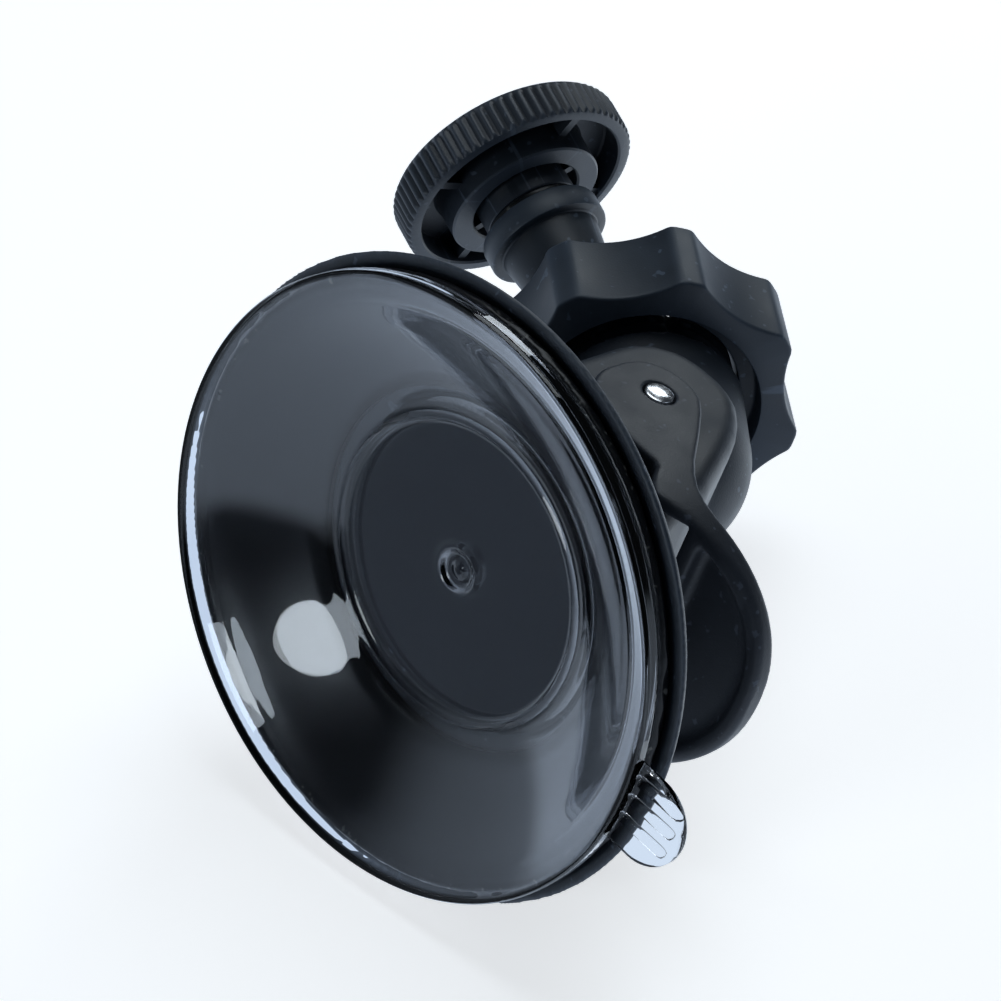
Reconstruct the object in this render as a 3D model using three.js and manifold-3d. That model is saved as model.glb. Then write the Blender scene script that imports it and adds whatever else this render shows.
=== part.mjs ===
// A suction-cup windscreen mount for a dash camera, in millimetres with +Z up.
// The glass is the plane z = 0 and the cup's axis is Z. The cam lever lies towards -Y, its pin runs
// along X, and the ball socket leans towards +Y. The lever is drawn locked.
import * as THREE from "three";
import { mergeVertices } from "three/addons/utils/BufferGeometryUtils.js";
import Module from "manifold-3d";

const wasm = await Module();
wasm.setup();

// ---- Driving dimensions ----

const runGap = 0.3; // clearance between pieces
const pinGap = 0.25; // clearance of the cross pin in its holes
const facetTolerance = 0.02; // facets closer to flat than this are merged
const roundSteps = 48;
const smallSteps = 24;
const degree = Math.PI / 180;

const cupRadius = 30;
const cupRimThickness = 2;
const cupWall = 1.8;
const cupDiscRadius = 15.2;
const cupDiscHeight = 7.6; // underside of the centre disc above the glass
const lipFlat = 1.1;

const tabWidth = 8.8;
const tabReach = 7;
const tabThickness = 1.2;
const tabRibCount = 3;

const backingWall = 1.2;
const backingInnerRadius = 16.6;

const flangeRadius = 31.1;
const flangeBottom = 3.7;

const bodyHalfWidth = 13.5; // cheek plane, along X
const bodyEdge = 2; // rounding of the cheeks' edges
const ledgeHeight = 20; // the cams bear on this step

const pinRadius = 1.5;
const pinHeight = 28.5;
const leverTravel = 3; // lift of the plunger between open and locked
const leverSwing = 88 * degree; // from locked to open
const earThickness = 1.9;
const earRadius = 4.3;
const earOpenRadius = 5.2; // cam radius with the lever open

const paddleHalfWidth = bodyHalfWidth + runGap + earThickness;
const paddleTip = 26.4; // along -Y
const paddleBend = 6.8; // the plan outline starts to curve in here, along -Y
const paddleInner = 14.6; // the paddle's edge nearest the body, along -Y
const paddleSkirt = 1.6;
const paddlePlate = 1.4;

const stemRadius = 5;
const plungerDiscRadius = 14.6;

const socketLean = 51.5 * degree; // from +Z towards +Y
const socketCentre = new THREE.Vector3(0, 10.56, 44.75); // on its axis, at the nut's near face
const socketRadius = 9.9;
const shoulderRadius = 10.3;
const ballRadius = 8;
const ballHeight = 1.82; // ball centre along the socket axis
const collarSlotWidth = 1.3;

const nutLobes = 8;
const nutTipRadius = 16.4;
const nutValleyRadius = 14.5;
const nutHeight = 9.8;
const nutRecessRadius = 12;
const nutRecessDepth = 2.8;
const nutTurn = -1.4 * degree; // a lobe's direction round the socket axis, from +X

const studTilt = 29.9 * degree; // from the socket axis
const studAzimuth = 116.7 * degree; // round the socket axis, from +X
const neckRadius = 4.5;
const neckTopRadius = 5.35;
const collarRadius = 6.5;
const collarTop = 23.4; // along the stud axis, from the ball centre
const screwRadius = 3.175; // 1/4 inch
const screwPitch = 1.27;
const screwEnd = 36.4;

const wheelRadius = 12.85;
const wheelHeight = 4.6;
const wheelRim = 27.6; // rim underside along the stud axis
const wheelTeeth = 72;
const toothDepth = 0.3;
const hubRadius = 8.35;
const hubDrop = 1.2; // the hub stands this far below the rim
const wheelRibs = 4;
const ribTurn = 75 * degree; // first rib between rim and hub, round the stud axis
const webTurn = 17 * degree; // first web between hub and boss
const insertRadius = 4;
const bossRadius = 5.1;
const hubRecessRadius = 5.95;

// ---- Shape helpers ----

function toSolid(geometry) {
  const bare = geometry.clone();
  bare.deleteAttribute("normal");
  bare.deleteAttribute("uv");
  const merged = mergeVertices(bare, 1e-4);
  const corners = merged.index.array;
  const kept = [];
  for (let i = 0; i < corners.length; i += 3) {
    const [a, b, c] = corners.slice(i, i + 3);
    if (a !== b && b !== c && c !== a) kept.push(a, b, c);
  }
  const mesh = new wasm.Mesh({
    numProp: 3,
    vertProperties: merged.attributes.position.array,
    triVerts: new Uint32Array(kept),
  });
  return new wasm.Manifold(mesh);
}

function toGeometry(solid) {
  const mesh = solid.simplify(facetTolerance).getMesh();
  const geometry = new THREE.BufferGeometry();
  geometry.setAttribute("position", new THREE.BufferAttribute(mesh.vertProperties, 3));
  geometry.setIndex(new THREE.BufferAttribute(mesh.triVerts, 1));
  geometry.computeVertexNormals();
  return geometry;
}

// A solid of revolution about Z. The profile's [radius, height] pairs run anticlockwise, and it
// starts and ends on the axis or closes on itself.
function turned(profile, steps = roundSteps, frame = null) {
  const points = profile.map(([radius, height]) => new THREE.Vector2(radius, height));
  const geometry = new THREE.LatheGeometry(points, steps);
  geometry.rotateX(Math.PI / 2);
  if (frame) geometry.applyMatrix4(frame);
  return toSolid(geometry);
}

// A closed ring of revolution: the first point is repeated at the end.
function ring(profile, steps = roundSteps, frame = null) {
  return turned([...profile, profile[0]], steps, frame);
}

function cylinder(radius, low, high, steps = smallSteps, frame = null) {
  return turned([[0, low], [radius, low], [radius, high], [0, high]], steps, frame);
}

// An upright prism from an XY shape, between two heights, with an optional rounded edge that
// stays inside the shape.
function prism(shape, low, high, { edge = 0, edgeSteps = 2, curveSteps = 8, frame = null } = {}) {
  const geometry = new THREE.ExtrudeGeometry(shape, {
    depth: high - low - 2 * edge,
    bevelEnabled: edge > 0,
    bevelThickness: edge,
    bevelSize: edge,
    bevelOffset: -edge,
    bevelSegments: edgeSteps,
    curveSegments: curveSteps,
    steps: 1,
  });
  geometry.translate(0, 0, low + edge);
  if (frame) geometry.applyMatrix4(frame);
  return toSolid(geometry);
}

function box(width, depth, height, centre, frame = null) {
  const geometry = new THREE.BoxGeometry(width, depth, height);
  geometry.translate(...centre);
  if (frame) geometry.applyMatrix4(frame);
  return toSolid(geometry);
}

// A closed skin over loops of points that run anticlockwise and rise along Z.
function skinOf(loops, frame = null) {
  const around = loops[0].length;
  const last = (loops.length - 1) * around;
  const corners = [];
  for (let i = 0; i < around; i += 1) {
    const next = (i + 1) % around;
    for (let level = 0; level < last; level += around) {
      corners.push(level + i, level + next, level + around + next);
      corners.push(level + i, level + around + next, level + around + i);
    }
    corners.push(last + around, next, i);
    corners.push(last + around + 1, last + i, last + next);
  }
  const points = [...loops.flat(), [0, 0, loops[0][0][2]], [0, 0, loops.at(-1)[0][2]]];
  const geometry = new THREE.BufferGeometry();
  geometry.setAttribute("position", new THREE.Float32BufferAttribute(points.flat(), 3));
  geometry.setIndex(corners);
  if (frame) geometry.applyMatrix4(frame);
  return toSolid(geometry);
}

// A superellipse loop of the given half width and half depth at one height.
function superellipse(height, halfWidth, halfDepth, exponent, steps) {
  return Array.from({ length: steps }, (_, i) => {
    const turn = (2 * Math.PI * i) / steps;
    const [c, s] = [Math.cos(turn), Math.sin(turn)];
    const x = halfWidth * Math.sign(c) * Math.abs(c) ** (2 / exponent);
    const y = halfDepth * Math.sign(s) * Math.abs(s) ** (2 / exponent);
    return [x, y, height];
  });
}

// Points on a circular arc in a profile, from one angle to another in degrees.
function arc(centreX, centreY, radius, from, to, count) {
  return Array.from({ length: count + 1 }, (_, i) => {
    const turn = (from + ((to - from) * i) / count) * degree;
    return [centreX + radius * Math.cos(turn), centreY + radius * Math.sin(turn)];
  });
}

function shapeOf(points) {
  return new THREE.Shape(points.map(([x, y]) => new THREE.Vector2(x, y)));
}

// Turns a shape drawn in (y, z) and extruded along its third axis so that the third axis is X.
const alongX = new THREE.Matrix4().makeBasis(
  new THREE.Vector3(0, 1, 0),
  new THREE.Vector3(0, 0, 1),
  new THREE.Vector3(1, 0, 0),
);

// The socket's frame has +Z along the socket axis; the stud's has +Z along the stud, from the
// ball centre.
const socketFrame = new THREE.Matrix4()
  .makeRotationX(-socketLean)
  .setPosition(socketCentre);
const studFrame = socketFrame
  .clone()
  .multiply(new THREE.Matrix4().makeTranslation(0, 0, ballHeight))
  .multiply(new THREE.Matrix4().makeRotationZ(studAzimuth))
  .multiply(new THREE.Matrix4().makeRotationY(studTilt));

// ---- Materials ----

function plastic(colour, roughness) {
  return new THREE.MeshStandardMaterial({ color: colour, roughness, metalness: 0 });
}

const clearPvc = new THREE.MeshStandardMaterial({
  color: 0xd8dde2,
  roughness: 0.1,
  transparent: true,
  opacity: 0.35,
});
const blackRubber = plastic(0x0c0d0f, 0.3);
const housingAbs = plastic(0x1c1d20, 0.6);
const leverAbs = plastic(0x1a1b1e, 0.6);
const nutPlastic = plastic(0x191a1d, 0.55);
const studPlastic = plastic(0x17181a, 0.5);
const wheelPlastic = plastic(0x1b1c1f, 0.5);
const acetal = plastic(0xdedcd4, 0.4);
const steel = new THREE.MeshStandardMaterial({ color: 0xc9cbce, roughness: 0.25, metalness: 1 });
const brass = new THREE.MeshStandardMaterial({ color: 0xc9a85a, roughness: 0.35, metalness: 1 });

// ---- Suction cup and its backing ----

// Underside of the clear cup from the lip inwards, as [radius, height].
const bowl = [
  [cupRadius - lipFlat, 0],
  [26.3, 2],
  [22, 4.6],
  [18, 6.5],
  [cupDiscRadius, cupDiscHeight],
];

// Back of the clear cup from its rim inwards. The backing and the flange follow it.
const cupBack = [
  [cupRadius, cupRimThickness],
  [28.6, 2.75],
  [26, 4.4],
  [22, 6.5],
  [18, 8.3],
  [15.6, cupDiscHeight + cupWall],
];

function raised(profile, height) {
  return profile.map(([radius, z]) => [radius, z + height]);
}

function suctionCup() {
  const profile = [[0, cupDiscHeight], ...[...bowl].reverse(), [cupRadius, 0], ...cupBack];
  const cup = turned([...profile, [0, cupDiscHeight + cupWall]]);
  return cup.add(pullTab());
}

function pullTab() {
  const half = tabWidth / 2;
  const root = -cupRadius + 0.7;
  const end = -cupRadius - tabReach;
  const outline = new THREE.Shape();
  outline.moveTo(-half, root);
  outline.lineTo(-half, end + half);
  outline.absarc(0, end + half, half, Math.PI, 2 * Math.PI, false);
  outline.lineTo(half, root);
  const plate = prism(outline, 0.2, 0.2 + tabThickness, { edge: 0.2, edgeSteps: 1 });
  const ribLength = tabReach - 1;
  const spacing = tabWidth / (tabRibCount + 1);
  let tab = plate;
  for (let i = 0; i < tabRibCount; i += 1) {
    const x = (i - (tabRibCount - 1) / 2) * spacing;
    const centre = [x, 0.5 - cupRadius - ribLength / 2, 0.2 + tabThickness];
    tab = tab.add(box(1, ribLength, 0.6, centre));
  }
  return tab;
}

function cupBacking() {
  const outer = cupBack.slice(0, -1);
  const inner = [backingInnerRadius, 9];
  const under = raised([...outer, inner], runGap);
  const over = raised([...outer, inner], runGap + backingWall);
  return ring([...under.reverse(), ...over]);
}

// ---- Base housing ----

function baseHousing() {
  const flange = turned([
    [0, flangeBottom],
    [flangeRadius - 0.1, flangeBottom],
    [flangeRadius, flangeBottom + 0.2],
    [30.7, 4.6],
    [28.4, 6.4],
    [25, 8.3],
    [20, 11.4],
    [0, 11.4],
  ]);
  const bellSections = [
    [9, 22.4, 22.4],
    [11, 20.4, 20.4],
    [13.5, 18.7, 17.4],
    [16.5, 17.2, 13.3],
    [ledgeHeight - 0.6, 16.5, 11.4],
    [ledgeHeight, 15.9, 10.8],
  ];
  const bell = skinOf(bellSections.map((section) => superellipse(...section, 2.4, 48)));
  let housing = flange.add(bell).add(archedBody()).add(socketBarrel());
  housing = housing.subtract(cupCavity()).subtract(cylinder(stemRadius + runGap, 0, 33));
  housing = housing.subtract(pinSlot()).subtract(socketCavity());
  const slotLow = 0.9;
  const slotHigh = 8;
  for (const turn of [0, Math.PI / 2]) {
    const frame = socketFrame.clone().multiply(new THREE.Matrix4().makeRotationZ(turn));
    const size = [2 * shoulderRadius + 2, collarSlotWidth, slotHigh - slotLow];
    housing = housing.subtract(box(...size, [0, 0, (slotLow + slotHigh) / 2], frame));
  }
  return housing;
}

// The middle: an arch in (y, z) whose front slants out towards the flange, drawn out along X with
// rounded cheeks' edges.
function archedBody() {
  const foot = ledgeHeight - 6;
  const crown = new THREE.SplineCurve(
    [[9.4, 33], [8.6, 36.4], [6.5, 38.8], [3.4, 39.8], [0.6, 39.9], [-2.2, 39], [-4.6, 37], [-6.9, 33.6]]
      .map(([y, z]) => new THREE.Vector2(y, z)),
  );
  const front = [[-8.7, 30.2], [-10.6, 26.2], [-11.8, 22.5], [-12.6, 19], [-13, foot]];
  const outline = [[9.4, foot], ...crown.getPoints(14).map(({ x, y }) => [x, y]), ...front];
  const edges = { edge: bodyEdge, edgeSteps: 3, frame: alongX };
  return prism(shapeOf(outline), -bodyHalfWidth, bodyHalfWidth, edges);
}

// The round barrel that leans out of the arch: a ball at its back, and the split collar at its front.
function socketBarrel() {
  const endCentre = -8;
  const endRadius = 9.9;
  return turned(
    [
      ...arc(0, endCentre, endRadius, -90, 0, 6),
      [shoulderRadius, -1.2],
      [shoulderRadius, 0],
      [socketRadius, 0.2],
      [socketRadius, 5.2],
      [socketRadius - 0.6, 6.2],
      [0, 6.2],
    ],
    roundSteps,
    socketFrame,
  );
}

// The hollow under the flange that takes the cup, its backing and the plunger's disc.
function cupCavity() {
  const lift = runGap + backingWall + runGap;
  const roof = raised(cupBack.slice(1, -1), lift);
  return turned([
    [0, 0],
    [cupRadius - 0.1, 0],
    [cupRadius - 0.1, flangeBottom],
    ...roof,
    [16.3, 10.8],
    [plungerDiscRadius + 0.6, 10.9],
    [plungerDiscRadius + 0.6, 12.3],
    [0, 12.3],
  ]);
}

// The upright slot through both cheeks that lets the pin travel.
function pinSlot() {
  const half = pinRadius + pinGap;
  const outline = new THREE.Shape();
  outline.moveTo(half, pinHeight - leverTravel);
  outline.lineTo(half, pinHeight);
  outline.absarc(0, pinHeight, half, 0, Math.PI, false);
  outline.lineTo(-half, pinHeight - leverTravel);
  outline.absarc(0, pinHeight - leverTravel, half, Math.PI, 2 * Math.PI, false);
  const reach = bodyHalfWidth + 1;
  return prism(outline, -reach, reach, { frame: alongX });
}

const socketBore = ballRadius + runGap;
const socketFloor = -8.4;
const lipHeight = 3.55; // the collar's lip above the ball centre

function socketCavity() {
  const lipAngle = Math.asin(lipHeight / socketBore) / degree;
  return turned(
    [
      [0, socketFloor],
      [socketBore, socketFloor],
      ...arc(0, ballHeight, socketBore, 0, lipAngle, 3),
      [8.2, 7],
      [0, 7],
    ],
    36,
    socketFrame,
  );
}

// ---- Plunger, pin and lever ----

function plunger() {
  const discBottom = cupDiscHeight + cupWall + runGap;
  const body = turned([
    [0, discBottom],
    [plungerDiscRadius, discBottom],
    [plungerDiscRadius, 11.3],
    [stemRadius + 0.5, 11.6],
    [stemRadius, 12.1],
    [stemRadius, 31.2],
    [stemRadius - 0.8, 32],
    [0, 32],
  ], 36);
  const hole = shapeOf(arc(0, pinHeight, pinRadius + 0.15, 0, 337.5, 15));
  return body.subtract(prism(hole, -10, 10, { frame: alongX }));
}

function pivotPin() {
  const end = paddleHalfWidth - 0.2;
  const chamfer = 0.25;
  const frame = new THREE.Matrix4()
    .makeRotationY(Math.PI / 2)
    .setPosition(0, 0, pinHeight);
  return turned(
    [
      [0, -end],
      [pinRadius - chamfer, -end],
      [pinRadius, -end + chamfer],
      [pinRadius, end - chamfer],
      [pinRadius - chamfer, end],
      [0, end],
    ],
    16,
    frame,
  );
}

// Side outline of one ear and arm, as [y, z] from the pin. The cam is the envelope of a flat ledge
// whose distance from the pin falls evenly as the lever swings up, so it stays in touch all the way.
function earOutline() {
  const lockedRadius = earOpenRadius + leverTravel;
  const fall = leverTravel / leverSwing;
  const camSteps = 8;
  const cam = Array.from({ length: camSteps + 1 }, (_, i) => {
    const swing = (leverSwing * i) / camSteps;
    const radius = lockedRadius - fall * swing;
    const [c, s] = [Math.cos(swing), Math.sin(swing)];
    return [radius * s - fall * c, -radius * c - fall * s];
  });
  const shoulder = [[4.9, 1.9], [3.9, 3.2], [2, 4]];
  const crown = arc(0, 0, earRadius, 90, 155, 5);
  const arm = new THREE.SplineCurve(
    [[-4.7, 1.4], [-7.7, -2.1], [-10.4, -5.3], [-13.5, -7.1]].map(([y, z]) => new THREE.Vector2(y, z)),
  );
  const top = arm.getPoints(8).map(({ x, y }) => [x, y]);
  const underside = [
    [-22, -8],
    [-18.6, -9.2],
    [-14.5, -10.3],
    [-12.7, -11],
    [-11.3, -11.5],
    [-9.9, -11.2],
    [-8.6, -9.9],
    [-7.8, -lockedRadius],
  ];
  return [...cam, ...shoulder, ...crown, ...top, ...paddleTopLine(), [-paddleTip, -7.5], ...underside];
}

// The paddle's upper surface in side view, as [y, z] from the pin. It rises a little to the tip.
function paddleTopLine() {
  return [[-16.5, -6.7], [-paddleTip, -4.8]];
}

// Plan outline of the lever, shrunk by an inset, between two distances along -Y.
function leverPlan(inset, start) {
  const exponent = 2.2;
  const width = paddleHalfWidth - inset;
  const length = paddleTip - paddleBend - inset;
  const startTurn = Math.asin(Math.max(0, (start - paddleBend) / length) ** (exponent / 2));
  const count = 20;
  const points = [];
  for (let i = 0; i <= count; i += 1) {
    const turn = startTurn + ((Math.PI - 2 * startTurn) * i) / count;
    const [c, s] = [Math.cos(turn), Math.sin(turn)];
    const x = width * Math.sign(c) * Math.abs(c) ** (2 / exponent);
    points.push([x, -paddleBend - length * Math.abs(s) ** (2 / exponent)]);
  }
  if (start < paddleBend) {
    points.unshift([width, -start]);
    points.push([-width, -start]);
  }
  return shapeOf(points.reverse());
}

function camLever() {
  const side = shapeOf(earOutline().map(([y, z]) => [y, z + pinHeight]));
  const [low, high] = [pinHeight - 14, pinHeight + 6];
  const edges = { edge: 0.35, edgeSteps: 1, frame: alongX };
  let lever = prism(side, -paddleHalfWidth, paddleHalfWidth, edges);
  lever = lever.intersect(prism(leverPlan(0, -7), low, high));
  const inside = bodyHalfWidth + runGap;
  lever = lever.subtract(box(2 * inside, 2 * paddleInner, 40, [0, 0, pinHeight]));
  const roof = paddleTopLine().map(([y, z]) => [y, z + pinHeight - paddlePlate]);
  const under = shapeOf([...roof, [-paddleTip, low], [-16.5, low]].reverse());
  const recess = prism(under, -20, 20, { frame: alongX });
  lever = lever.subtract(recess.intersect(prism(leverPlan(paddleSkirt, paddleInner + 1.5), low, high)));
  const hole = shapeOf(arc(0, pinHeight, pinRadius + pinGap, 0, 337.5, 15));
  return lever.subtract(prism(hole, -20, 20, { frame: alongX }));
}

// ---- Socket pieces ----

function ballSeat() {
  const dish = arc(0, ballHeight, ballRadius + runGap, -48, -90, 5);
  return turned(
    [
      [0, socketFloor + runGap],
      [socketBore - runGap, socketFloor + runGap],
      [socketBore - runGap, -3.6],
      ...dish,
    ],
    24,
    socketFrame,
  );
}

function clampNut() {
  const outline = new THREE.Shape();
  const half = 4.1 * degree;
  const step = (2 * Math.PI) / nutLobes;
  const at = (radius, turn) => [radius * Math.cos(turn), radius * Math.sin(turn)];
  const chordMiddle = nutTipRadius * Math.cos(step / 2 - half);
  const control = 2 * nutValleyRadius - chordMiddle; // a quadratic's middle is half way to it
  outline.moveTo(...at(nutTipRadius, -half));
  for (let lobe = 0; lobe < nutLobes; lobe += 1) {
    const turn = lobe * step;
    outline.lineTo(...at(nutTipRadius, turn + half));
    const next = at(nutTipRadius, turn + step - half);
    outline.quadraticCurveTo(...at(control, turn + step / 2), ...next);
  }
  const frame = socketFrame.clone().multiply(new THREE.Matrix4().makeRotationZ(nutTurn));
  const body = prism(outline, 0, nutHeight, { edge: 0.45, edgeSteps: 1, curveSteps: 6, frame });
  const bore = socketRadius + runGap;
  const hollow = turned(
    [
      [0, -1],
      [nutRecessRadius, -1],
      [nutRecessRadius, nutRecessDepth],
      [bore, nutRecessDepth + 0.2],
      [bore, 5.3],
      [bore - 0.6, 6.6],
      [bore - 0.6, 8.4],
      [bore + 0.8, nutHeight + 0.2],
      [0, nutHeight + 0.2],
    ],
    roundSteps,
    socketFrame,
  );
  return body.subtract(hollow);
}

// ---- Ball stud, screw and thumb wheel ----

function ballStud() {
  const neckStart = Math.acos(4 / ballRadius) / degree;
  const body = turned(
    [
      ...arc(0, 0, ballRadius, -90, neckStart, 12),
      [4.1, 8.4],
      [neckRadius, 15],
      [neckTopRadius, 20.4],
      [neckTopRadius, 20.7],
      [collarRadius - 0.2, 20.75],
      [collarRadius, 21],
      [collarRadius, collarTop - 0.4],
      [collarRadius - 0.4, collarTop],
      [0, collarTop],
    ],
    32,
    studFrame,
  );
  return body.subtract(cylinder(screwRadius + runGap, 13, collarTop + 1, 20, studFrame));
}

function studWasher() {
  const low = collarTop + runGap;
  const high = low + 0.7;
  const inner = screwRadius + runGap;
  const outer = bossRadius + 0.3;
  const rim = [[outer - 0.1, low], [outer, low + 0.2], [outer, high - 0.2], [outer - 0.2, high]];
  return ring([[inner, low], ...rim, [inner, high]], 32, studFrame);
}

// The screw's thread is one skin: its radius rises and falls along each turn of the helix.
function cameraScrew() {
  const around = 16;
  const perTurn = 3;
  const low = 25;
  const depth = 0.55;
  const rows = Math.round(((screwEnd - low) / screwPitch) * perTurn);
  const loops = Array.from({ length: rows + 1 }, (_, row) => {
    const z = low + (row * screwPitch) / perTurn;
    const runOut = Math.min(1, row / perTurn, (rows - row) / perTurn);
    return Array.from({ length: around }, (_, i) => {
      const turn = (2 * Math.PI * i) / around;
      const phase = (((z / screwPitch - i / around) % 1) + 1) % 1;
      const radius = screwRadius - depth * (1 - runOut * (1 - Math.abs(2 * phase - 1)));
      return [radius * Math.cos(turn), radius * Math.sin(turn), z];
    });
  });
  const shank = cylinder(screwRadius - 0.2, 13.3, low + 0.4, 16, studFrame);
  return skinOf(loops, studFrame).add(shank);
}

// The wheel's knurled skin: level sections of [height, inset], every tooth cut to its section.
function knurledDisc(sections) {
  const tooth = [[0, 0], [0.45, 0], [0.72, toothDepth]];
  const around = wheelTeeth * tooth.length;
  const loops = sections.map(([height, inset]) =>
    Array.from({ length: around }, (_, i) => {
      const [share, cut] = tooth[i % tooth.length];
      const turn = (2 * Math.PI * (Math.floor(i / tooth.length) + share)) / wheelTeeth;
      const radius = wheelRadius - Math.max(cut, inset);
      return [radius * Math.cos(turn), radius * Math.sin(turn), height];
    }),
  );
  return skinOf(loops, studFrame);
}

function thumbWheel() {
  const top = wheelRim + wheelHeight;
  const disc = knurledDisc([[wheelRim, 0.5], [wheelRim + 0.5, 0], [top - 0.8, 0], [top, 0.8]]);
  const hub = cylinder(hubRadius, wheelRim - hubDrop, wheelRim + 1, 32, studFrame);
  let wheel = disc.add(hub);
  const floor = top - 1.4;
  const groove = (inner, outer, low, high) => [[inner, low], [outer, low], [outer, high], [inner, high]];
  const rimInside = wheelRadius - 1.5;
  wheel = wheel.subtract(ring(groove(hubRadius, rimInside, wheelRim - 2, floor), 36, studFrame));
  const bossLow = collarTop + runGap + 0.7 + runGap;
  wheel = wheel.add(cylinder(bossRadius, bossLow, floor, 28, studFrame));
  const recess = groove(bossRadius, hubRecessRadius, bossLow - 1, wheelRim + 1.2);
  wheel = wheel.subtract(ring(recess, 28, studFrame));
  for (let rib = 0; rib < wheelRibs; rib += 1) {
    const turn = (rib * 2 * Math.PI) / wheelRibs;
    const outerFrame = studFrame.clone().multiply(new THREE.Matrix4().makeRotationZ(turn + ribTurn));
    const innerFrame = studFrame.clone().multiply(new THREE.Matrix4().makeRotationZ(turn + webTurn));
    const outer = box(3.6, 1, 3, [9.9, 0, wheelRim + 2.2], outerFrame);
    const webReach = (bossRadius + hubRecessRadius) / 2;
    const inner = box(1.2, 0.9, 2, [webReach, 0, wheelRim + 0.9], innerFrame);
    wheel = wheel.add(outer).add(inner);
  }
  return wheel.subtract(cylinder(insertRadius + runGap, bossLow - 1, top + 1, 24, studFrame));
}

function wheelInsert() {
  const low = wheelRim - 2;
  const high = wheelRim + wheelHeight - 0.1;
  const bore = screwRadius + 0.25;
  return ring([[bore, low], [insertRadius, low], [insertRadius, high], [bore, high]], 24, studFrame);
}

// ---- Assembly ----

const mount = new THREE.Group();

function piece(name, solid, material) {
  const mesh = new THREE.Mesh(toGeometry(solid), material);
  mesh.name = name;
  mount.add(mesh);
}

piece("suction_cup", suctionCup(), clearPvc);
piece("cup_backing", cupBacking(), blackRubber);
piece("base_housing", baseHousing(), housingAbs);
piece("plunger", plunger(), studPlastic);
piece("pivot_pin", pivotPin(), steel);
piece("cam_lever", camLever(), leverAbs);
piece("ball_seat", ballSeat(), acetal);
piece("clamp_nut", clampNut(), nutPlastic);
piece("ball_stud", ballStud(), studPlastic);
piece("stud_washer", studWasher(), blackRubber);
piece("camera_screw", cameraScrew(), steel);
piece("thumb_wheel", thumbWheel(), wheelPlastic);
piece("wheel_insert", wheelInsert(), brass);

export default mount;
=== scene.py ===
"""A suction-cup windscreen mount for a dash camera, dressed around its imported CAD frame.

Lengths in the shape code are millimetres in the row frame, and MM turns them into metres.
"""

import math

import bpy
import numpy as np
from mathutils import Matrix, Vector


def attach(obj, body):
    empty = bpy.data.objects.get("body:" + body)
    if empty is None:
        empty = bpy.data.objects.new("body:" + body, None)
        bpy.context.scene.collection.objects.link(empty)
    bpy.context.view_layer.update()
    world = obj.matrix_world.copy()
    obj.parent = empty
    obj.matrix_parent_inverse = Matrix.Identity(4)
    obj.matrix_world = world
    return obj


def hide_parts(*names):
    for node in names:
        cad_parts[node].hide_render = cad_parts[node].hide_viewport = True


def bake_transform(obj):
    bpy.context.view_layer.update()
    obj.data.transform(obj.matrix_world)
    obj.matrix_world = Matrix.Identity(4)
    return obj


MM = 0.001
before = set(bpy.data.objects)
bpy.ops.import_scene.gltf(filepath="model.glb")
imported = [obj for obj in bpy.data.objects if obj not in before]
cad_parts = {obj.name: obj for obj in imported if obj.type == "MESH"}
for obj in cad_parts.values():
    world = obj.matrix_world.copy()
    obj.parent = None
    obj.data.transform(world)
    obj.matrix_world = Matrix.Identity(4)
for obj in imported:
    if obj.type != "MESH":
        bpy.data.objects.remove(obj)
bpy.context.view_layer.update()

# ---- Driving sizes in millimetres, most of them shared with the CAD ----

CUP_RADIUS = 30.0
TAB_WIDTH = 8.8
TAB_REACH = 7.0
CUP_BACK = [(28.6, 2.35), (27.2, 3.05), (26, 3.85), (24, 5.2), (22, 6.4), (20, 7.45), (18, 8.35)]
BACKING_TOP = [(28.6, 4.25), (26, 5.9), (22, 8.0), (18, 9.8)]
FLANGE_BOTTOM = 3.7
BODY_HALF_WIDTH = 13.5
LEDGE_HEIGHT = 20.0
PIN_HEIGHT = 28.5
PIN_RADIUS = 1.5
LEVER_TRAVEL = 3.0
LEVER_SWING = math.radians(88)
LEVER_HALF_WIDTH = 15.7
PADDLE_TIP = 26.4
PADDLE_BEND = 6.8
PADDLE_INNER = 14.6
SOCKET_LEAN = math.radians(51.5)
SOCKET_CENTRE = Vector((0, 10.56, 44.75))
BALL_HEIGHT = 1.82
BALL_RADIUS = 8.0
SOCKET_BORE = 8.3
SHELL_RADIUS = 9.9
SHELL_DROP = 8.0
COLLAR_RADIUS = 9.9
COLLAR_TOP = 6.2
COLLAR_PITCH = 1.6
NUT_LOBES = 8
NUT_HEIGHT = 9.8
STUD_TILT = math.radians(29.9)
STUD_AZIMUTH = math.radians(116.7)
WHEEL_RADIUS = 12.85
WHEEL_RIM = 27.6
WHEEL_TOP = 32.2
WHEEL_TEETH = 72
SCREW_RADIUS = 3.175
SCREW_PITCH = 1.27

socket_frame = Matrix.Translation(SOCKET_CENTRE) @ Matrix.Rotation(-SOCKET_LEAN, 4, "X")
stud_frame = (
    socket_frame
    @ Matrix.Translation((0, 0, BALL_HEIGHT))
    @ Matrix.Rotation(STUD_AZIMUTH, 4, "Z")
    @ Matrix.Rotation(STUD_TILT, 4, "Y")
)


# ---- Mesh helpers ----


def mesh_object(name, vertices, faces, material, smooth_angle=None, placed=None):
    """A mesh piece from millimetre vertices, smooth shaded, with its material."""
    vertices = np.asarray(vertices, float)
    if placed is not None:
        matrix = np.array(placed)
        vertices = vertices @ matrix[:3, :3].T + matrix[:3, 3]
    mesh = bpy.data.meshes.new(name)
    mesh.from_pydata((vertices * MM).tolist(), [], faces)
    mesh.validate()
    mesh.shade_smooth()
    if smooth_angle is not None:
        mesh.set_sharp_from_angle(angle=math.radians(smooth_angle))
    mesh.materials.append(material)
    piece = bpy.data.objects.new(name, mesh)
    bpy.context.collection.objects.link(piece)
    return piece


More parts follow.
